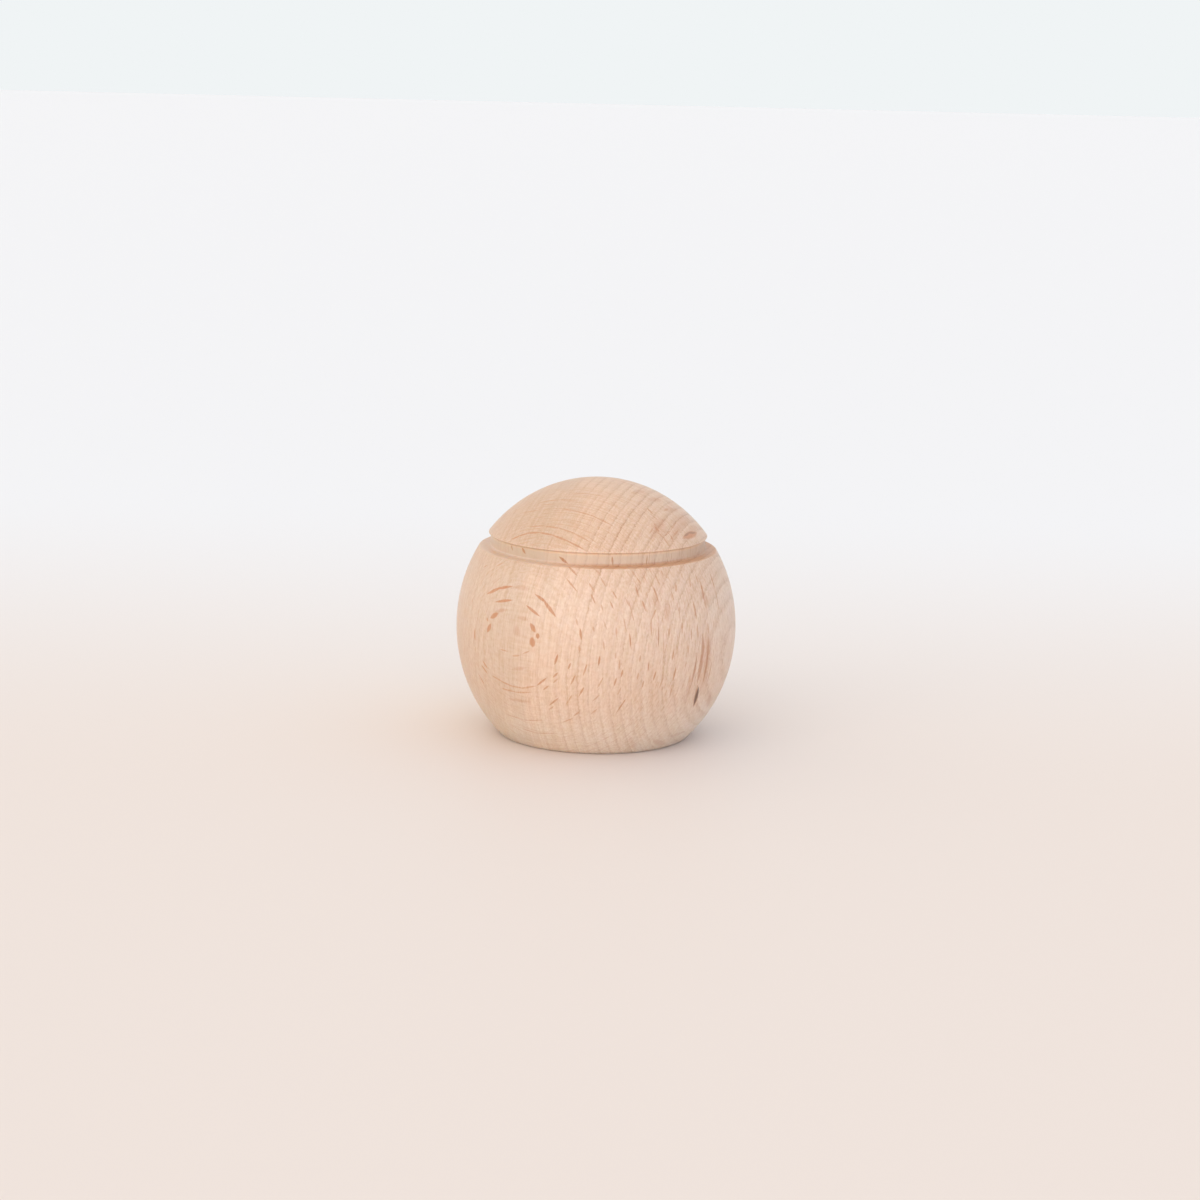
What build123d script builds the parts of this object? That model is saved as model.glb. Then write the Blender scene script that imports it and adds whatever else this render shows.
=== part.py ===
from build123d import *

import math
import os

# A turned beech ball, slightly taller than round, with a flat foot and a square groove under its cap.
# It is one piece of wood. Millimetres, +Z up along the turning axis, origin at the middle of the foot.

# Driving dimensions: the oval and what is cut from it
ball_width = 60.0
ball_length = 63.8
foot_cut = 8.4

# Driving dimensions: the groove, from the top down
cap_height = 12.1
groove_width = 2.7
lip_overhang = 0.6

# Driving dimensions: the sanded edges and the groove's inner corner
foot_edge_round = 0.6
rim_round = 0.45
lip_round = 0.2
corner_round = 0.5

# Heights above the foot, and the radii that follow from them
ball_radius = ball_width / 2
half_length = ball_length / 2
girth_height = half_length - foot_cut
groove_top = ball_length - foot_cut - cap_height
groove_floor = groove_top - groove_width


def oval_radius(height):
    """Radius of the oval at a height above the foot."""
    reach = (height - girth_height) / half_length
    return ball_radius * math.sqrt(1 - reach**2)


foot_radius = oval_radius(0)
rim_radius = oval_radius(groove_floor)
lip_radius = oval_radius(groove_top)
neck_radius = lip_radius - lip_overhang


def turned_profile():
    """Half section of the ball: the oval to the right of its axis and above its foot, less the groove."""
    corner = (Align.MIN, Align.MIN)
    oval = Pos(0, girth_height) * Ellipse(ball_radius, half_length)
    kept = Rectangle(ball_width, ball_length, align=corner)
    groove = Pos(neck_radius, groove_floor) * Rectangle(ball_width, groove_width, align=corner)
    return (oval & kept) - groove


def round_edge(ball, height, radius, rounding):
    """Rounds the turned edge that lies at one height and radius."""
    circles = ball.edges().filter_by(GeomType.CIRCLE)
    edge = min(circles, key=lambda circle: math.hypot(circle.arc_center.Z - height, circle.radius - radius))
    return fillet(edge, rounding)


def make_ball():
    """The whole ball, turned about its axis, with its edges softened."""
    ball = revolve(Plane.XZ * turned_profile(), Axis.Z)
    ball = round_edge(ball, 0, foot_radius, foot_edge_round)
    ball = round_edge(ball, groove_floor, rim_radius, rim_round)
    ball = round_edge(ball, groove_top, lip_radius, lip_round)
    return round_edge(ball, groove_floor, neck_radius, corner_round)


os.makedirs("parts", exist_ok=True)
export_step(make_ball(), "parts/wooden_ball.step")
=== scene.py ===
import math

import bpy
from mathutils import Matrix, Vector


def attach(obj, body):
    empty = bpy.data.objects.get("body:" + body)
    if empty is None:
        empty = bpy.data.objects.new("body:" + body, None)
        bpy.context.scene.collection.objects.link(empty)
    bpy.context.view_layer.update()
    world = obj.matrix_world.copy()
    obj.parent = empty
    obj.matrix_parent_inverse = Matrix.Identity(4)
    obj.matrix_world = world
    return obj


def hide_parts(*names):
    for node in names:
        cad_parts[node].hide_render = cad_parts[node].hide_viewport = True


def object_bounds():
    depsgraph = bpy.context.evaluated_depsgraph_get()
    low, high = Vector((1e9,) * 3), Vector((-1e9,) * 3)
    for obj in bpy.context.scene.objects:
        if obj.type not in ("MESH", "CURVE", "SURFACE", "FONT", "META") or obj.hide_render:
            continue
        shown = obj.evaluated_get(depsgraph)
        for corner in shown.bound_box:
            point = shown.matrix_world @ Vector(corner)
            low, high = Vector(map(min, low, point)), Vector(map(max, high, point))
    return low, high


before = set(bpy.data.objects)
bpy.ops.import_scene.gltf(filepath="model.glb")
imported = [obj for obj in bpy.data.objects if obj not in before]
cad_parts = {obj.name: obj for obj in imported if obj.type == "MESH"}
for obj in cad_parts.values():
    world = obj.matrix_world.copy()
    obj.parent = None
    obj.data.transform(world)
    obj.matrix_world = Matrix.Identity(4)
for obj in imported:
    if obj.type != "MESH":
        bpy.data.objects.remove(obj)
cad_low, cad_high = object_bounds()

MM = 0.001

# The ball, in metres: the oval, the groove under the cap and the sanded edges
ball_radius = cad_high.x
total_height = cad_high.z
half_length = 31.9 * MM
cap_height = 12.1 * MM
groove_width = 2.7 * MM
girth_height = total_height - half_length
groove_top = total_height - cap_height
groove_floor = groove_top - groove_width
lip_overhang = 0.6 * MM
foot_edge_round = 0.6 * MM
rim_round = 0.45 * MM
lip_round = 0.2 * MM
corner_round = 0.5 * MM

# The ball's mesh: points round each turn, along each stretch of the profile and along each rounding
turn_steps = 360
foot_steps = 10
body_steps = 120
groove_floor_steps = 4
neck_steps = 6
cap_steps = 60
round_steps = 5

# How far the oval's own points keep from its edges, which leaves room for the roundings
edge_clearance = 0.6 * MM

# The photograph: its width in pixels, the focal length in pixels and where the aim point shows in it
photo_width = 1200
focal_pixels = 2793
aim_pixel = (596.7, 595.0)
aim_height = 30 * MM
camera_distance = 600 * MM
camera_elevation = math.radians(11.35)
camera_roll = math.radians(1.34)
sensor_width = 36.0
nearest_seen = 10 * MM

# How a pixel is followed to the ball: the length of one step and the most steps taken
trace_step = 0.05 * MM
trace_limit = 2400

# How the wood grew: the way out from its pith, its fibres' slant and the pith's distance in millimetres
growth_azimuth = math.radians(15.0)
growth_elevation = math.radians(-5.7)
fibre_twist = math.radians(-1.9)
pith_distance = 107.0

# The growth rings: how many to a millimetre, how they crowd together outward and inward, and the first
ring_density = 0.476
ring_crowding = 0.00012
ring_start = -1.2

# How dark the rings are: the palest year, how much years differ, and shades across a ring and in patches
ring_least = 0.6
ring_spread = 0.5
ring_shades = ((0.0, 0.05), (0.5, 0.1), (0.8, 0.45), (0.91, 1.0), (1.0, 0.05))
ring_patch_shades = ((0.35, 0.5), (0.65, 1.0))

# How plain the rings are in inner wood, how much plainer in outer wood, in end grain and in brown patches
inner_rings = 0.05
inner_end_rings = 0.15
outer_rings = 0.32
outer_end_rings = 0.2
patch_rings = 0.2

# Where outer wood is all pale and inner wood all warm, in millimetres out, and how far that border wanders
pale_from = 4.0
warm_to = -10.0
warmth_spread = 20.0

# Fineness of the grain, in changes per millimetre out from the pith, round the rings and along the fibres
drift_grain = (0.08, 0.08, 0.03)
ruffle_grain = (0.8, 2.5, 1.2)
warmth_grain = (0.15, 0.15, 0.06)
ring_patch_grain = (0.4, 1.2, 0.5)
fibre_grain = (3.5, 3.5, 0.2)
layer_grain = (2.2, 0.1, 0.03)
ray_grain = (0.25, 3.0, 1.6)

# How much finer detail the fibres and layers hold, and the noise values where they are dark and where clear
fibre_detail = 4.0
layer_detail = 3.0
grain_dark = 0.3
grain_clear = 0.65

# The middle of what noise gives, and how far it moves the rings and frays their lines, in millimetres
noise_middle = 0.5
drift_reach = (0.8, 0.8, 0.0)
ruffle_reach = (0.7, 0.0, 0.0)

# Scattered rays, in millimetres out, round and along: the room each has, half its size, and the share there
fine_room = Vector((20, 0.7, 2.4))
fine_half = Vector((0, 0.07, 1.0))
fine_share = 0.9
fleck_room = Vector((60, 2.0, 3.6))
fleck_half = Vector((0, 0.16, 1.2))
fleck_share = 0.8

# A scattered ray: its least strength, how much rays differ, and its core and end as shares of its half size
ray_least = 0.4
ray_spread = 0.6
ray_core_share = 0.6
ray_end_share = 1.1

# How nearly a surface faces along the fibres, as a cosine, to be all end grain and not at all
end_grain_full = 0.7
end_grain_none = 0.15

# How nearly a surface faces round the rings, as a cosine, to show all its scattered rays and none
fine_full = 0.7
fine_none = 0.92
fleck_full = 0.9
fleck_none = 0.97

# How far behind the ball's middle scattered flecks are all there, and where in front of it they end
scatter_full = 2 * MM
scatter_none = -14 * MM

# How much longer and wider than it looks a fleck is, because it fades out at its ends and sides
fleck_soft_ends = 1.17
fleck_soft_sides = 1.3

# Flecks in the photograph: both ends of each one there, in pixels, and its width in millimetres
bold_flecks = [
    ((487, 594), (502, 587.3), 0.7),
    ((496, 589), (513, 586.3), 0.6),
    ((495, 602), (513, 600), 0.6),
    ((526, 605), (540, 616.5), 0.6),
    ((535, 594), (547, 603), 0.6),
    ((543, 599.5), (556, 617), 0.75),
    ((490.5, 618), (498.5, 613), 1.1),
    ((491, 623.5), (487.3, 632.5), 1.0),
    ((530.3, 623), (535.5, 632.5), 1.0),
    ((537.5, 633), (538, 639), 0.85),
    ((532, 637), (533, 647.5), 1.3),
    ((558, 654), (554.5, 665), 0.5),
    ((580, 628), (581.5, 640), 0.5),
    ((600, 655.5), (598.5, 666), 0.45),
    ((522, 547.5), (525.5, 554), 0.5),
    ((559, 556.5), (568, 564), 0.5),
]
clear_flecks = [
    ((475, 628), (475, 641), 0.6),
    ((482.5, 660), (488, 669), 0.45),
    ((481.5, 665), (488, 674), 0.45),
    ((478.5, 673.5), (484.5, 684.5), 0.45),
    ((537, 685.5), (547, 677.5), 0.45),
    ((543, 690), (549, 685.5), 0.4),
    ((549, 705.5), (559, 697.5), 0.4),
    ((553, 677.5), (558, 672.5), 0.45),
    ((571, 662.5), (568, 669.5), 0.45),
    ((587, 664), (583, 676), 0.4),
    ((575.5, 675), (570.5, 685), 0.4),
    ((584, 687), (579, 696), 0.4),
    ((626, 698.5), (616, 713), 0.35),
    ((616.5, 677.5), (614, 686), 0.4),
    ((623, 669), (621, 677.5), 0.4),
    ((644, 680), (641.5, 688.5), 0.35),
    ((649, 661), (648, 672), 0.35),
    ((656, 671), (653, 681), 0.35),
    ((676, 667), (673, 681), 0.35),
    ((674, 649), (672, 661), 0.35),
    ((566, 578), (577.5, 592), 0.35),
    ((568, 566.5), (577.5, 576), 0.45),
    ((591, 594), (595.5, 604), 0.35),
    ((642, 600), (646, 612), 0.35),
    ((511, 545), (513, 551), 0.35),
    ((612, 556), (613, 566), 0.4),
    ((647.3, 555), (648, 566), 0.3),
    ((511, 539.5), (520, 536), 0.45),
    ((517, 536.6), (529, 533.2), 0.4),
    ((526, 533.6), (541, 532.6), 0.45),
    ((538, 532.4), (555, 535.8), 0.45),
    ((551, 534.8), (571, 542.4), 0.45),
    ((567, 541), (584, 549.5), 0.4),
    ((654, 526), (659.5, 532), 0.5),
    ((670.5, 535), (673, 541.5), 0.5),
    ((647, 508), (653, 514.5), 0.45),
    ((653, 586), (658.5, 602), 0.4),
    ((629.5, 633), (631, 649), 0.35),
    ((693, 601), (696.5, 619), 0.45),
    ((709.5, 572.5), (715, 590), 0.45),
    ((635.5, 585), (638.5, 597), 0.35),
    ((612.5, 591), (617, 599), 0.35),
    ((610, 601), (613.5, 609), 0.35),
    ((700, 581), (704.5, 602), 0.6),
]
faint_flecks = [
    ((483.5, 567.5), (487.5, 565), 0.4),
    ((473.5, 597), (471.5, 604.5), 0.45),
    ((487, 617.5), (488, 621.5), 0.5),
    ((499.5, 649), (508, 651.5), 0.3),
    ((512, 656), (520, 655.3), 0.45),
    ((522.5, 654), (530.5, 650.5), 0.3),
    ((501, 688), (518, 692.5), 0.4),
    ((514, 692), (531, 692.5), 0.4),
    ((492, 675.5), (504, 682.3), 0.4),
    ((500.5, 681), (512, 686), 0.4),
    ((508.5, 685.2), (524, 688.3), 0.4),
    ((520, 688.4), (537, 685.7), 0.4),
    ((507, 714), (523, 719.5), 0.3),
    ((520, 719.5), (545, 720), 0.3),
    ((562, 722.5), (574, 717.5), 0.35),
    ((522, 728.5), (536, 732.5), 0.3),
    ((533, 732.5), (558, 733), 0.3),
    ((549, 709.5), (554, 706), 0.35),
    ((553, 683), (558, 678.5), 0.4),
    ((603.5, 677), (597, 688.5), 0.35),
    ((600, 694.5), (592.5, 701), 0.35),
    ((572, 695), (566, 704.5), 0.35),
    ((580, 711.5), (573.5, 716), 0.4),
    ((597.5, 708.5), (590.5, 714.5), 0.4),
    ((620, 659), (619, 670), 0.4),
    ((621.5, 686.5), (617.5, 695), 0.4),
    ((616, 652), (615.5, 659), 0.35),
    ((640.5, 655), (639.5, 662), 0.4),
    ((639, 672), (637, 680), 0.4),
    ((663.5, 676), (659, 689), 0.35),
    ((672, 687), (669.5, 697), 0.35),
    ((686.5, 660.5), (685, 668), 0.35),
    ((588.5, 582), (595, 593), 0.35),
    ((576, 618), (578, 626), 0.4),
    ((579.3, 644.5), (579.5, 652.5), 0.4),
    ((593, 626), (594, 632), 0.35),
    ((603.5, 620.5), (607, 630), 0.35),
    ((603, 640), (604.5, 650.5), 0.35),
    ((601, 604), (603, 611), 0.35),
    ((628, 600), (631.5, 611), 0.3),
    ((631, 610), (634, 621.5), 0.3),
    ((623.5, 617), (626, 631), 0.3),
    ((593, 568), (601, 575), 0.4),
    ((600, 576.5), (606, 587), 0.35),
    ((496, 566.5), (504, 562.5), 0.4),
    ((615, 566.5), (622, 567.5), 0.4),
    ((528, 527), (546, 526), 0.35),
    ((543, 526), (561, 528.5), 0.35),
    ((558, 528), (576, 534), 0.35),
    ((573, 533), (590, 542), 0.4),
    ((560, 509), (581, 512), 0.35),
    ((577, 511.5), (596, 517), 0.4),
    ((592, 516), (611, 525), 0.35),
    ((540, 502.5), (560, 500), 0.35),
    ((557, 500), (578, 501), 0.35),
    ((571, 493.5), (592, 494), 0.35),
    ((588, 494), (606, 497), 0.35),
    ((540, 505.5), (556, 504), 0.3),
    ((524, 513), (541, 510), 0.3),
    ((650, 514), (658, 520), 0.35),
    ((662.5, 536), (669, 546), 0.4),
    ((712, 660), (707, 683), 0.4),
    ((656.5, 608), (651.5, 620), 0.4),
    ((651, 617), (651.5, 636), 0.4),
    ((675.5, 583), (676, 593), 0.5),
    ((671, 591), (674, 601), 0.35),
    ((695, 574), (698.5, 584), 0.4),
    ((704, 598), (706, 609), 0.6),
    ((715, 589), (719, 613), 0.45),
    ((689.5, 577), (690.5, 588), 0.5),
    ((682, 622), (682.5, 634), 0.4),
    ((663.5, 638), (663.5, 653), 0.35),
    ((616.5, 627), (616.5, 638), 0.35),
    ((707.5, 622), (708.5, 634), 0.5),
    ((661, 570), (663.5, 577), 0.35),
    ((637, 578), (641, 584), 0.35),
    ((655, 575), (660, 586), 0.35),
    ((669, 628), (669, 637), 0.4),
    ((679, 606), (679.5, 615), 0.4),
    ((691, 628), (691.5, 641), 0.4),
    ((664, 511), (668.5, 508.5), 0.6),
    ((653.5, 523), (657, 528), 0.4),
    ((657.5, 532.5), (664, 538), 0.35),
    ((649.5, 534), (653, 528), 0.35),
    ((665.5, 535.5), (671, 530), 0.4),
    ((670, 531), (676.5, 521.5), 0.4),
    ((672, 538), (678.5, 530), 0.4),
    ((631, 569), (636, 577), 0.35),
    ((625.5, 598), (629, 606), 0.3),
    ((688, 643), (688, 655), 0.35),
    ((697, 622), (698, 642), 0.35),
]

# Brown streaks, softer patches, the cap's oval mark, the painted shade at its dented edge, and the painted
# crack, in the same way
brown_streaks = [
    ((702.7, 633), (701.8, 662), 0.9),
    ((702.5, 648), (696.8, 684), 1.0),
    ((708.3, 636), (702.5, 684), 0.6),
    ((697, 653), (690.5, 687), 0.5),
    ((658.5, 626), (658.5, 648), 0.35),
    ((698, 684), (693, 708), 1.2),
]
brown_patches = [
    ((706, 622), (699, 696), 3.6),
    ((691, 672), (684.5, 706), 1.6),
    ((710, 692), (707, 708), 2.0),
    ((631, 493.5), (646, 491), 1.8),
    ((646, 500), (662, 500), 2.0),
    ((661, 509.5), (678, 510), 2.2),
    ((675, 527), (689, 517.5), 2.8),
    ((688, 531), (697, 526.5), 1.6),
    ((671, 536), (681, 523), 1.8),
    ((652, 540), (664, 516), 3.0),
    ((700, 590), (709, 606), 2.0),
    ((653, 593), (660, 613), 1.6),
    ((667, 600), (668, 624), 1.8),
    ((516.5, 624), (517.5, 638), 2.0),
    ((494, 611.5), (509, 609.5), 0.9),
    ((517, 617), (529, 620), 1.0),
    ((513, 587), (531, 589.5), 1.1),
    ((511, 669.5), (527, 667.5), 1.0),
    ((507, 698), (533, 702), 0.9),
    ((629, 735), (636, 750), 1.6),
    ((652, 739), (664, 745), 1.6),
    ((668, 736.5), (686, 731), 1.2),
]
oval_marks = [
    ((682.5, 538.5), (697, 532.5), 1.7),
]
# Painted shade at the oval mark's upper edge, where it is dented
oval_dent_shade = [
    ((684, 536.5), (689.5, 532.5), 0.5),
    ((687.5, 533), (695.5, 532.8), 0.6),
]
# The crack's dark is painted shade of a slit that the mesh doesn't cut
cracks = [
    ((698.5, 687), (693.8, 705), 0.95),
]

# How strongly each kind of mark shows, and the shades that fibres give to flecks
fine_strength = 0.45
faint_strength = 0.6
clear_strength = 0.85
bold_strength = 1.0
patch_strength = 0.25
streak_strength = 0.5
oval_strength = 0.65
oval_dent_shade_strength = 0.32
crack_strength = 0.8
fleck_fibre_shades = ((0.35, 1.0), (0.65, 0.7))

# How far in from its edge to its middle a mark reaches its full strength, as a share
mark_core_share = 0.5
patch_core_share = 0.8

# Heights below which the foot's wood has its full painted light and full painted shade, and where each ends
painted_foot_light_full = 2 * MM
painted_foot_light_none = 14 * MM
painted_contact_shade_full = 0.2 * MM
painted_contact_shade_none = 0.6 * MM

# The groove: how softly it ends, how calm its grain is, and where its tints, painted light and painted
# shades are full and end
groove_floor_blur = 0.2 * MM
groove_top_blur = 0.1 * MM
groove_calm = 0.7
groove_low_full = 0.3 * MM
groove_low_none = 0.7 * MM
painted_lip_light_full = 0.2 * MM
painted_lip_light_none = 0.8 * MM
painted_right_shade_full = 23 * MM
painted_right_shade_none = 12 * MM
groove_brown_and_shade_full = 4 * MM
groove_brown_and_shade_none = -16 * MM

# The wood's surface: its gloss and roughness, the relief of its fibres and the light that it lets in
wood_gloss = 0.5
wood_roughness = 0.3
fibre_roughness = 0.2
fibre_relief = 0.15
fibre_depth = 0.02 * MM
glow_weight = 0.3
glow_spread = (1.0, 0.5, 0.25)
glow_depth = 1.0 * MM

# The floor: half its width, its gloss and roughness, and how far back it is all near or all far in colour
floor_half = 6.0
floor_gloss = 0.5
floor_roughness = 0.6
floor_near_until = -60 * MM
floor_far_from = 300 * MM

# The key light: how strong and broad it is, its colour, how far to the left of the camera and how high
key_energy = 1.25
key_breadth = math.radians(80)
key_colour = (0.98, 0.95, 0.91)
key_azimuth = math.radians(22)
key_elevation = math.radians(20)

# The window that the wood shines with: which way it lies, to the right of the camera
window_way = Vector((0.4, -1.0, 0.35))

# The lamp overhead, which lies to the back
overhead_way = Vector((0.0, 0.8, 1.0))

# How near to the way of the window or the lamp a light is full and where it ends, as cosines
lamp_full = 0.95
lamp_none = 0.3

# The light all round: how strong it is, and how far aside it is all warm or all cool
around_strength = 0.95
side_reach = 0.7


def srgb(red, green, blue):
    """Linear colour, with alpha, of three display values from 0 to 255."""
    shares = (value / 255 for value in (red, green, blue))
    linear = [((s + 0.055) / 1.055) ** 2.4 if s > 0.04045 else s / 12.92 for s in shares]
    return (*linear, 1.0)


# Colours
pale_wood = srgb(237, 208, 185)
warm_wood = srgb(221, 195, 173)
ring_wood = srgb(188, 136, 100)
fleck_wood = srgb(197, 136, 94)
patch_wood = srgb(188, 120, 78)
streak_wood = srgb(176, 98, 48)
mark_wood = srgb(196, 124, 78)
# painted shade in the crack and at the oval mark's dented edge
painted_recess_shade = srgb(98, 68, 44)
fibre_tint = (0.92, 0.88, 0.83, 1.0)
layer_tint = (0.94, 0.9, 0.85, 1.0)
ray_tint = (0.95, 0.91, 0.86, 1.0)
# partly the tool-cut wall's colour, partly painted shade in the groove
tooled_and_shade_tint = (0.9, 0.9, 0.85, 1.0)
end_grain_tint = (0.93, 0.87, 0.81, 1.0)
# painted shade at the groove wall's far right
painted_right_shade_tint = (0.86, 0.77, 0.69, 1.0)
# painted light that pales the wood near the foot
painted_foot_light_tint = (1.03, 1.15, 1.23, 1.0)
# painted contact shade at the foot's edge
painted_contact_shade_tint = (0.8, 0.8, 0.8, 1.0)
# painted light on the wall under the lip, which lifts the lip's shade
painted_lip_light_tint = (1.13, 1.09, 1.02, 1.0)
# partly the end grain's colour, partly painted shade on the groove's floor
groove_floor_grain_and_shade_tint = (0.79, 0.62, 0.48, 1.0)
floor_near = srgb(229, 214, 202)
floor_far = srgb(234, 231, 228)
backdrop = srgb(240, 244, 245)
warm_side = (1.01, 1.0, 1.02, 1.0)
cool_side = (0.72, 0.92, 1.22, 1.0)
overhead_gain = (1.37, 1.19, 0.98, 1.0)
window_light = (1.3, 1.36, 1.42, 1.0)


# The camera

def make_camera():
    """A camera where the photographer stood, with the ball where the photograph has it."""
    data = bpy.data.cameras.new("camera")
    data.sensor_width = sensor_width
    data.lens = sensor_width * focal_pixels / photo_width
    data.clip_start = nearest_seen
    camera = bpy.data.objects.new("camera", data)
    tilt = Matrix.Rotation(math.pi / 2 - camera_elevation, 3, "X")
    turn = tilt @ Matrix.Rotation(camera_roll, 3, "Z")
    metres_per_pixel = camera_distance / focal_pixels
    middle = photo_width / 2
    aside = Vector((middle - aim_pixel[0], aim_pixel[1] - middle, 0)) * metres_per_pixel
    aim = Vector((0, 0, aim_height))
    place = aim + turn @ (aside + Vector((0, 0, camera_distance)))
    camera.matrix_world = Matrix.Translation(place) @ turn.to_4x4()
    bpy.context.scene.collection.objects.link(camera)
    bpy.context.scene.camera = camera
    return camera


# The shape of the ball

def oval_point(angle):
    """Radius and height of the oval at an angle up from its girth."""
    return Vector((ball_radius * math.cos(angle), girth_height + half_length * math.sin(angle)))


def oval_way(angle):
    """Direction in which the oval climbs at an angle."""
    return Vector((-ball_radius * math.sin(angle), half_length * math.cos(angle))).normalized()


def oval_angle(height):
    """Angle up from the girth at which the oval has a height."""
    return math.asin((height - girth_height) / half_length)


foot_angle = oval_angle(0)
rim_angle = oval_angle(groove_floor)
lip_angle = oval_angle(groove_top)
neck_radius = oval_point(lip_angle).x - lip_overhang


def surface_radius(height):
    """Radius of the ball at a height, with the groove cut."""
    if groove_floor < height < groove_top:
        return neck_radius
    return oval_point(oval_angle(height)).x


def seen_at(camera, pixel):
    """Point of the ball that the camera sees at a pixel of the photograph."""
    middle = photo_width / 2
    ray = Vector((pixel[0] - middle, middle - pixel[1], -focal_pixels)).normalized()
    turn = camera.matrix_world.to_3x3()
    step = turn @ ray * trace_step
    point = camera.matrix_world.translation + turn @ ray * (camera_distance - 2 * ball_radius)
    for _ in range(trace_limit):
        point += step
        if 0 < point.z < total_height and point.xy.length < surface_radius(point.z):
            return point.copy()
    raise ValueError(f"pixel {pixel} isn't on the ball")


def rounded(corner, back, ahead, radius):
    """Points of the arc that rounds a corner, between the two ways that lead from it."""
    half = back.angle(ahead) / 2
    reach = radius / math.tan(half)
    middle = corner + (back + ahead).normalized() * radius / math.sin(half)
    first = (corner + back * reach - middle).normalized()
    last = (corner + ahead * reach - middle).normalized()
    return [middle + first.slerp(last, i / round_steps) * radius for i in range(round_steps + 1)]


def between(first, last, steps):
    """Points that divide a straight line evenly, without its ends."""
    return [first.lerp(last, i / steps) for i in range(1, steps)]


def oval_stretch(low, high, steps):
    """Points that divide a stretch of the oval evenly, without its ends."""
    return [oval_point(low + (high - low) * i / steps) for i in range(1, steps)]


def profile():
    """Half section of the ball, as radius and height, from the middle of the foot to the top."""
    inward, outward, up = Vector((-1, 0)), Vector((1, 0)), Vector((0, 1))
    foot_edge = rounded(oval_point(foot_angle), inward, oval_way(foot_angle), foot_edge_round)
    rim = rounded(oval_point(rim_angle), -oval_way(rim_angle), inward, rim_round)
    corner = rounded(Vector((neck_radius, groove_floor)), outward, up, corner_round)
    under_lip = Vector((neck_radius, groove_top))
    lip = rounded(oval_point(lip_angle), inward, oval_way(lip_angle), lip_round)
    top = oval_point(math.pi / 2)
    trim = edge_clearance / ball_radius
    points = [Vector((0, 0)), *between(Vector((0, 0)), foot_edge[0], foot_steps), *foot_edge]
    points += oval_stretch(foot_angle + trim, rim_angle - trim, body_steps) + rim
    points += between(rim[-1], corner[0], groove_floor_steps) + corner
    points += between(corner[-1], under_lip, neck_steps) + [under_lip] + lip
    points += oval_stretch(lip_angle + trim, math.pi / 2, cap_steps) + [top]
    return points


def make_ball():
    """The ball as a turned mesh."""
    outline = profile()
    rings = outline[1:-1]
    verts = [(0, 0, outline[0].y)]
    for ring in rings:
        for i in range(turn_steps):
            angle = 2 * math.pi * i / turn_steps
            verts.append((ring.x * math.cos(angle), ring.x * math.sin(angle), ring.y))
    verts.append((0, 0, outline[-1].y))
    faces = [(0, 1 + (i + 1) % turn_steps, 1 + i) for i in range(turn_steps)]
    for row in range(len(rings) - 1):
        low = 1 + row * turn_steps
        high = low + turn_steps
        for i in range(turn_steps):
            j = (i + 1) % turn_steps
            faces.append((low + i, low + j, high + j, high + i))
    last = 1 + (len(rings) - 1) * turn_steps
    faces += [(last + i, last + (i + 1) % turn_steps, len(verts) - 1) for i in range(turn_steps)]
    mesh = bpy.data.meshes.new("wooden_ball_turned")
    mesh.from_pydata(verts, [], faces)
    mesh.shade_smooth()
    ball = bpy.data.objects.new("wooden_ball_turned", mesh)
    bpy.context.scene.collection.objects.link(ball)
    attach(ball, "root")
    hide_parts("wooden_ball")
    return ball


# Materials

class Graph:
    """Adds nodes to a tree. An input is a socket to link or a plain value to set."""

    def __init__(self, tree):
        self.tree = tree
        tree.nodes.clear()

    def add(self, kind, inputs=(), **settings):
        node = self.tree.nodes.new("ShaderNode" + kind)
        for name, value in settings.items():
            setattr(node, name, value)
        for key, value in dict(inputs).items():
            if isinstance(value, bpy.types.NodeSocket):
                self.tree.links.new(value, node.inputs[key])
            else:
                node.inputs[key].default_value = value
        return node

    def math(self, operation, *values):
        return self.add("Math", enumerate(values), operation=operation).outputs[0]

    def vector(self, operation, *values):
        node = self.add("VectorMath", enumerate(values), operation=operation)
        return node.outputs["Value" if operation in ("DOT_PRODUCT", "LENGTH", "DISTANCE") else "Vector"]

    def joined(self, x, y, z):
        return self.add("CombineXYZ", enumerate((x, y, z))).outputs[0]

    def part(self, vector, index):
        return self.add("SeparateXYZ", {0: vector}).outputs[index]

    def fade(self, value, full, none, top=1.0):
        """top where value is at full, 0 where it is at none, and smooth between."""
        inputs = enumerate((value, none, full, 0.0, top))
        return self.add("MapRange", inputs, interpolation_type="SMOOTHSTEP").outputs[0]

    def noise(self, place, stretch, detail=2.0, output="Fac"):
        inputs = {"Vector": self.vector("MULTIPLY", place, stretch), "Scale": 1.0, "Detail": detail}
        return self.add("TexNoise", inputs).outputs[output]

    def wander(self, place, stretch, reach):
        """A smooth sideways step that differs from place to place, up to half of reach either way."""
        noise = self.noise(place, stretch, output="Color")
        return self.vector("MULTIPLY", self.vector("SUBTRACT", noise, (noise_middle,) * 3), reach)

    def mix(self, factor, first, second, blend="MIX"):
        inputs = {0: factor, 6: first, 7: second}
        return self.add("Mix", inputs, data_type="RGBA", blend_type=blend).outputs[2]

    def ramp(self, factor, *stops):
        node = self.add("ValToRGB", {0: factor})
        elements = node.color_ramp.elements
        while len(elements) < len(stops):
            elements.new(1.0)
        for element, (position, grey) in zip(elements, stops):
            element.position = position
            element.color = (grey, grey, grey, 1.0)
        return node.outputs[0]


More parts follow.
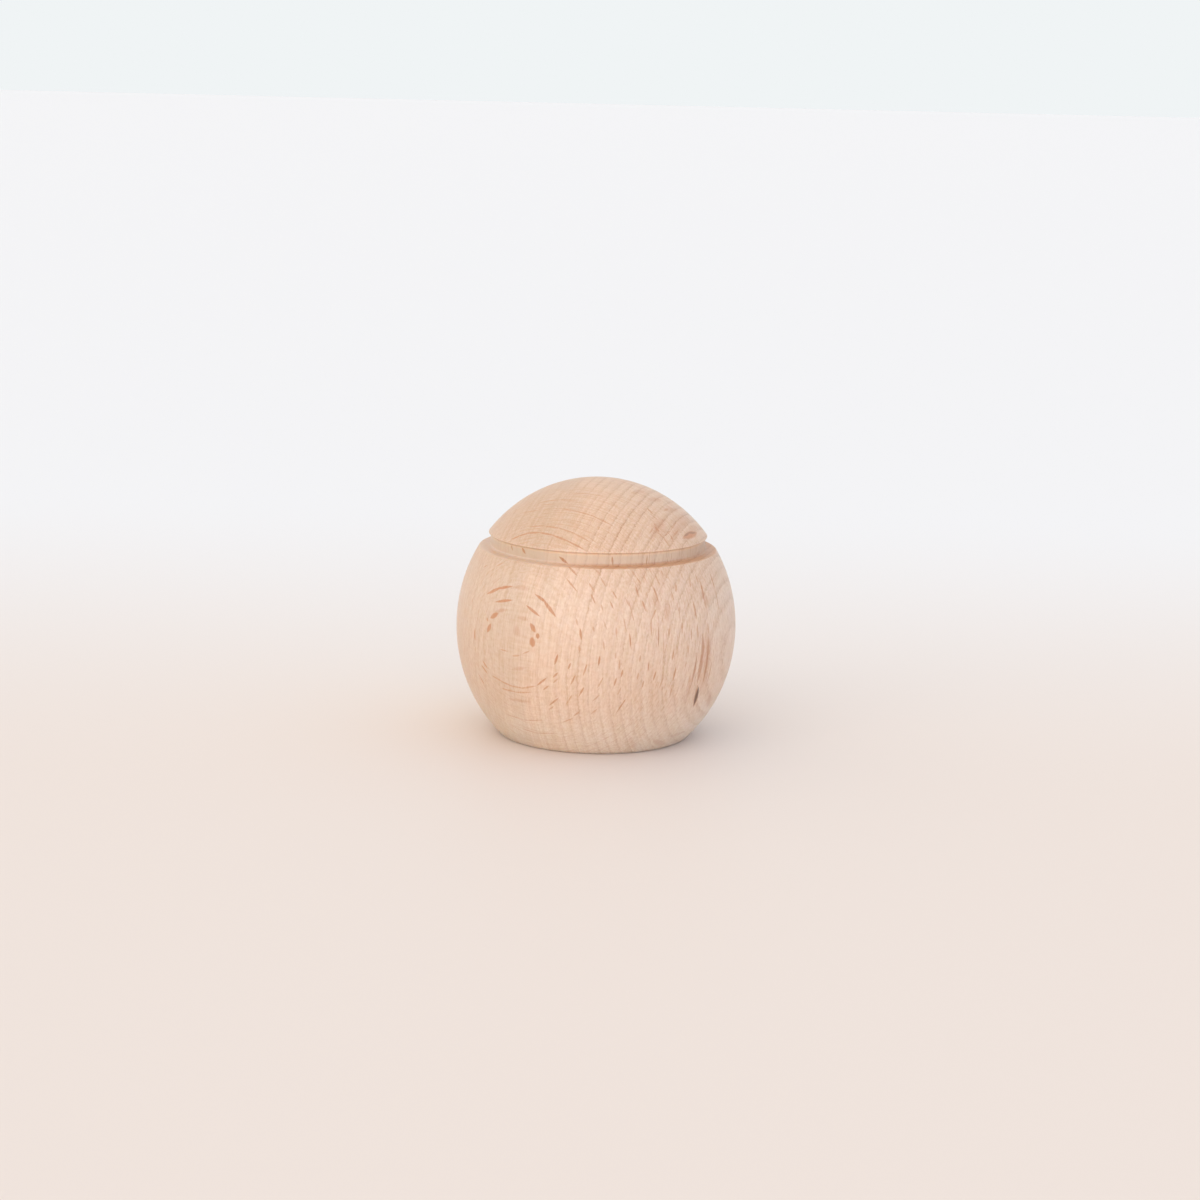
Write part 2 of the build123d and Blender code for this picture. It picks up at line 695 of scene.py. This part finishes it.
def growth_axes():
    """The ways out from the pith, round the rings and along the fibres."""
    flat = math.cos(growth_elevation)
    out = Vector((
        flat * math.cos(growth_azimuth), -flat * math.sin(growth_azimuth), math.sin(growth_elevation)))
    level = Vector((0, 0, 1)).cross(out).normalized()
    turn = Matrix.Rotation(fibre_twist, 3, out)
    return out, turn @ level, turn @ out.cross(level)


def wood_place(graph, offset):
    """Millimetres out from the ball's middle, round the rings and along the fibres, as one vector."""
    out, level, along = (graph.vector("DOT_PRODUCT", offset, axis / MM) for axis in growth_axes())
    from_pith = graph.math("ADD", out, pith_distance)
    reach = graph.vector("LENGTH", graph.joined(from_pith, level, 0.0))
    angle = graph.math("ARCTAN2", level, from_pith)
    depth = graph.math("SUBTRACT", reach, pith_distance)
    return graph.joined(depth, graph.math("MULTIPLY", angle, pith_distance), along)


def ring_tone(graph, wood):
    """How dark the growth rings are: pale early wood that deepens to a thin line."""
    depth = graph.part(wood, 0)
    crowding = graph.math("MULTIPLY", graph.math("MULTIPLY", depth, depth), ring_crowding)
    density = graph.math("ADD", crowding, ring_density)
    number = graph.math("MULTIPLY_ADD", depth, density, ring_start)
    year = graph.add("TexWhiteNoise", {"W": graph.math("FLOOR", number)}, noise_dimensions="1D")
    strength = graph.math("MULTIPLY_ADD", year.outputs["Value"], ring_spread, ring_least)
    tone = graph.ramp(graph.math("FRACT", number), *ring_shades)
    return graph.math("MULTIPLY", tone, strength)


def ray_tone(graph, wood, room, half_size, share):
    """Rays scattered through the wood: thin round the rings, taller along the fibres."""
    scaled = graph.vector("DIVIDE", wood, room)
    voronoi = graph.add("TexVoronoi", {"Vector": scaled, "Scale": 1.0}, voronoi_dimensions="3D")
    away = graph.vector("SUBTRACT", scaled, voronoi.outputs["Position"])
    stretch = Vector((0, room.y / half_size.y, room.z / half_size.z))
    distance = graph.vector("LENGTH", graph.vector("MULTIPLY", away, stretch))
    chance = graph.add("SeparateColor", {0: voronoi.outputs["Color"]}).outputs
    here = graph.math("LESS_THAN", chance[0], share)
    strength = graph.math("MULTIPLY_ADD", chance[1], ray_spread, ray_least)
    mask = graph.fade(distance, ray_core_share, ray_end_share)
    return graph.math("MULTIPLY", graph.math("MULTIPLY", mask, here), strength)


def fleck_tone(graph, offset, camera, flecks, strength, core_share=mark_core_share):
    """Pointed flecks where the photograph shows them: strength in their cores, 0 outside them."""
    middle = Vector((0, 0, girth_height))
    tone = 0.0
    for first, last, width in flecks:
        start = seen_at(camera, first) - middle
        end = seen_at(camera, last) - middle
        half_reach = (end - start).length / 2 * fleck_soft_ends
        half_width = width * MM / 2 * fleck_soft_sides

        # The middle between the ends lies below the surface, so it is lifted
        centre = (start + end) / 2
        centre *= 1 + half_reach**2 / (3 * ball_radius**2)

        # A fleck is where two globes overlap, one to each side of it
        across = centre.cross(end - start).normalized()
        aside = across * (half_reach**2 - half_width**2) / (2 * half_width)
        globe_radius = (half_reach**2 + half_width**2) / (2 * half_width)
        from_left = graph.vector("DISTANCE", offset, centre + aside)
        from_right = graph.vector("DISTANCE", offset, centre - aside)
        furthest = graph.math("MAXIMUM", from_left, from_right)
        inside = graph.math("MULTIPLY_ADD", furthest, -1 / half_width, globe_radius / half_width)
        tone = graph.math("MAXIMUM", inside, tone)
    return graph.fade(tone, core_share, 0.0, strength)


def beech(camera):
    """Sanded beech: growth rings, ray flecks and fibres that run through the whole ball, with painted light
    and shade at the foot, in the groove and in the crack.
    """
    material = bpy.data.materials.new("beech")
    material.use_nodes = True
    graph = Graph(material.node_tree)
    coordinates = graph.add("TexCoord").outputs
    place = coordinates["Object"]
    offset = graph.vector("SUBTRACT", place, Vector((0, 0, girth_height)))
    wood = wood_place(graph, offset)

    # The wood isn't quite regular
    wavy = graph.vector("ADD", wood, graph.wander(wood, drift_grain, drift_reach))
    fibres = graph.noise(wood, fibre_grain, fibre_detail)
    ruffled = graph.vector("ADD", wavy, graph.wander(wood, ruffle_grain, ruffle_reach))

    # Inner wood is warmer, outer wood paler, and end grain darker with plainer rings
    warmth = graph.math("SUBTRACT", graph.noise(wood, warmth_grain), noise_middle)
    depth = graph.math("MULTIPLY_ADD", warmth, warmth_spread, graph.part(wood, 0))
    outer = graph.fade(depth, pale_from, warm_to)
    colour = graph.mix(outer, warm_wood, pale_wood)
    normal = coordinates["Normal"]
    _, level, along = growth_axes()
    endwise = graph.fade(graph.vector("DOT_PRODUCT", normal, along), end_grain_full, end_grain_none)
    colour = graph.mix(endwise, colour, end_grain_tint, "MULTIPLY")
    in_outer = graph.math("MULTIPLY_ADD", endwise, outer_end_rings, outer_rings)
    in_inner = graph.math("MULTIPLY_ADD", endwise, inner_end_rings, inner_rings)
    plain = graph.math("MULTIPLY_ADD", outer, in_outer, in_inner)
    ring_patches = graph.ramp(graph.noise(wood, ring_patch_grain), *ring_patch_shades)
    plain = graph.math("MULTIPLY", plain, ring_patches)
    patch = fleck_tone(graph, offset, camera, brown_patches, 1.0, patch_core_share)
    plain = graph.math("MULTIPLY_ADD", patch, patch_rings, plain)
    rings = graph.math("MULTIPLY", ring_tone(graph, ruffled), plain)
    colour = graph.mix(rings, colour, ring_wood)

    # Fibres, fine layers and rays, all less plain in the groove, and the smallest ray flecks
    height = graph.part(place, 2)
    above_floor = graph.fade(height, groove_floor, groove_floor - groove_floor_blur)
    below_lip = graph.fade(height, groove_top - groove_top_blur, groove_top + groove_top_blur)
    in_groove = graph.math("MULTIPLY", above_floor, below_lip)
    open_wood = graph.math("MULTIPLY_ADD", in_groove, -groove_calm, 1.0)
    layers = graph.noise(ruffled, layer_grain, layer_detail)
    rays = graph.noise(wood, ray_grain)
    for pattern, tint in ((fibres, fibre_tint), (layers, layer_tint), (rays, ray_tint)):
        plainness = graph.math("MULTIPLY", open_wood, graph.fade(pattern, grain_dark, grain_clear))
        colour = graph.mix(plainness, colour, tint, "MULTIPLY")
    fine = ray_tone(graph, wavy, fine_room, fine_half, fine_share)
    faced = graph.math("ABSOLUTE", graph.vector("DOT_PRODUCT", normal, level))
    fine = graph.math("MULTIPLY", fine, graph.fade(faced, fine_full, fine_none))
    colour = graph.mix(graph.math("MULTIPLY", fine, fine_strength), colour, fleck_wood)

    # What the photograph shows takes the place of scattered flecks at the front
    scattered = ray_tone(graph, wavy, fleck_room, fleck_half, fleck_share)
    behind = graph.fade(graph.part(offset, 1), scatter_full, scatter_none)
    shown = graph.math("MULTIPLY", behind, graph.fade(faced, fleck_full, fleck_none))
    flecks = graph.math("MULTIPLY", scattered, shown)
    groups = ((faint_flecks, faint_strength), (clear_flecks, clear_strength), (bold_flecks, bold_strength))
    for group, strength in groups:
        flecks = graph.math("MAXIMUM", flecks, fleck_tone(graph, offset, camera, group, strength))
    flecks = graph.math("MULTIPLY", flecks, graph.ramp(fibres, *fleck_fibre_shades))
    colour = graph.mix(flecks, colour, fleck_wood)
    colour = graph.mix(graph.math("MULTIPLY", patch, patch_strength), colour, patch_wood)
    # Brown streaks, the oval mark, and painted shade at the oval mark's dented edge and in the crack
    marks = (
        (brown_streaks, streak_strength, streak_wood),
        (oval_marks, oval_strength, mark_wood),
        (oval_dent_shade, oval_dent_shade_strength, painted_recess_shade),
        (cracks, crack_strength, painted_recess_shade),
    )
    for group, strength, tone in marks:
        colour = graph.mix(fleck_tone(graph, offset, camera, group, strength), colour, tone)

    # Painted light makes the wood paler near the foot, and painted contact shade darkens the foot's edge,
    # where it meets the floor
    painted_foot_light = graph.fade(height, painted_foot_light_full, painted_foot_light_none)
    colour = graph.mix(painted_foot_light, colour, painted_foot_light_tint, "MULTIPLY")
    painted_contact_shade = graph.fade(height, painted_contact_shade_full, painted_contact_shade_none)
    colour = graph.mix(painted_contact_shade, colour, painted_contact_shade_tint, "MULTIPLY")

    # The groove's wall is greyer, partly as the tool cut it and partly painted shade; painted light pales
    # it under the lip and painted shade darkens it at the far right
    at_floor = graph.fade(height, groove_floor + groove_low_full, groove_floor + groove_low_none)
    at_wall = graph.math("MULTIPLY", in_groove, graph.math("SUBTRACT", 1.0, at_floor))
    colour = graph.mix(at_wall, colour, tooled_and_shade_tint, "MULTIPLY")
    # Painted light on the wall under the lip
    painted_lip_light = graph.fade(height, groove_top - painted_lip_light_full, groove_top - painted_lip_light_none)
    colour = graph.mix(graph.math("MULTIPLY", in_groove, painted_lip_light), colour, painted_lip_light_tint, "MULTIPLY")
    # Painted shade on the wall at the far right
    right = graph.part(offset, 0)
    painted_right_shade = graph.math("MULTIPLY", at_wall, graph.fade(right, painted_right_shade_full, painted_right_shade_none))
    colour = graph.mix(painted_right_shade, colour, painted_right_shade_tint, "MULTIPLY")

    # The groove's floor is all end grain, its brown partly that grain's colour and partly painted shade,
    # browner to the right
    floor_grain_and_shade = graph.math("MULTIPLY", at_floor, graph.fade(right, groove_brown_and_shade_full, groove_brown_and_shade_none))
    colour = graph.mix(graph.math("MULTIPLY", in_groove, floor_grain_and_shade), colour, groove_floor_grain_and_shade_tint, "MULTIPLY")

    bump = graph.add("Bump", {"Strength": fibre_relief, "Distance": fibre_depth, "Height": fibres})
    shader = graph.add("BsdfPrincipled", {
        "Base Color": colour,
        "Roughness": graph.math("MULTIPLY_ADD", fibres, fibre_roughness, wood_roughness),
        "Specular IOR Level": wood_gloss,
        "Normal": bump.outputs[0],
        "Subsurface Weight": glow_weight,
        "Subsurface Radius": glow_spread,
        "Subsurface Scale": glow_depth,
    })
    graph.add("OutputMaterial", {"Surface": shader.outputs[0]})
    return material


def floor_material():
    """Matt board, warm under the ball and cooler further back."""
    material = bpy.data.materials.new("pale_floor")
    material.use_nodes = True
    graph = Graph(material.node_tree)
    back = graph.part(graph.add("TexCoord").outputs["Object"], 1)
    colour = graph.mix(graph.fade(back, floor_far_from, floor_near_until), floor_near, floor_far)
    shader = graph.add("BsdfPrincipled", {
        "Base Color": colour, "Roughness": floor_roughness, "Specular IOR Level": floor_gloss})
    graph.add("OutputMaterial", {"Surface": shader.outputs[0]})
    return material


# The stage

def make_floor():
    """A wide pale floor at the height of the foot."""
    mesh = bpy.data.meshes.new("floor")
    corners = [(x * floor_half, y * floor_half, 0) for x, y in ((-1, -1), (1, -1), (1, 1), (-1, 1))]
    mesh.from_pydata(corners, [], [(0, 1, 2, 3)])
    floor = bpy.data.objects.new("floor", mesh)
    bpy.context.scene.collection.objects.link(floor)
    mesh.materials.append(floor_material())


def lamp_tone(graph, way, lamp_way):
    """1 toward a broad lamp, 0 away from it."""
    return graph.fade(graph.vector("DOT_PRODUCT", way, lamp_way.normalized()), lamp_full, lamp_none)


def make_world():
    """Light from all round: warm on the left, cool on the right, warmer overhead. The backdrop is pale."""
    world = bpy.data.worlds.new("studio")
    bpy.context.scene.world = world
    world.use_nodes = True
    graph = Graph(world.node_tree)
    way = graph.add("TexCoord").outputs["Generated"]
    sides = graph.mix(graph.fade(graph.part(way, 0), side_reach, -side_reach), warm_side, cool_side)
    around = graph.mix(lamp_tone(graph, way, overhead_way), sides, overhead_gain, "MULTIPLY")
    lit = graph.add("Background", {"Color": around, "Strength": around_strength})
    window = graph.mix(lamp_tone(graph, way, window_way), backdrop, window_light)
    shine = graph.add("Background", {"Color": window, "Strength": 1.0})
    seen = graph.add("Background", {"Color": backdrop, "Strength": 1.0})
    path = graph.add("LightPath").outputs
    both = graph.add("MixShader", {0: path["Is Glossy Ray"], 1: lit.outputs[0], 2: shine.outputs[0]})
    all_three = graph.add("MixShader", {0: path["Is Camera Ray"], 1: both.outputs[0], 2: seen.outputs[0]})
    graph.add("OutputWorld", {"Surface": all_three.outputs[0]})


def make_key():
    """A broad light in front of the ball, to the left of the camera."""
    data = bpy.data.lights.new("key", "SUN")
    data.energy = key_energy
    data.angle = key_breadth
    data.color = key_colour
    key = bpy.data.objects.new("key", data)
    left = math.sin(key_azimuth) * math.cos(key_elevation)
    near = math.cos(key_azimuth) * math.cos(key_elevation)
    toward = Vector((-left, -near, math.sin(key_elevation)))
    key.rotation_euler = toward.to_track_quat("Z", "Y").to_euler()
    bpy.context.scene.collection.objects.link(key)


camera = make_camera()
make_floor()
make_world()
make_key()
ball = make_ball()
ball.data.materials.append(beech(camera))

bpy.context.scene.view_settings.view_transform = "Standard"
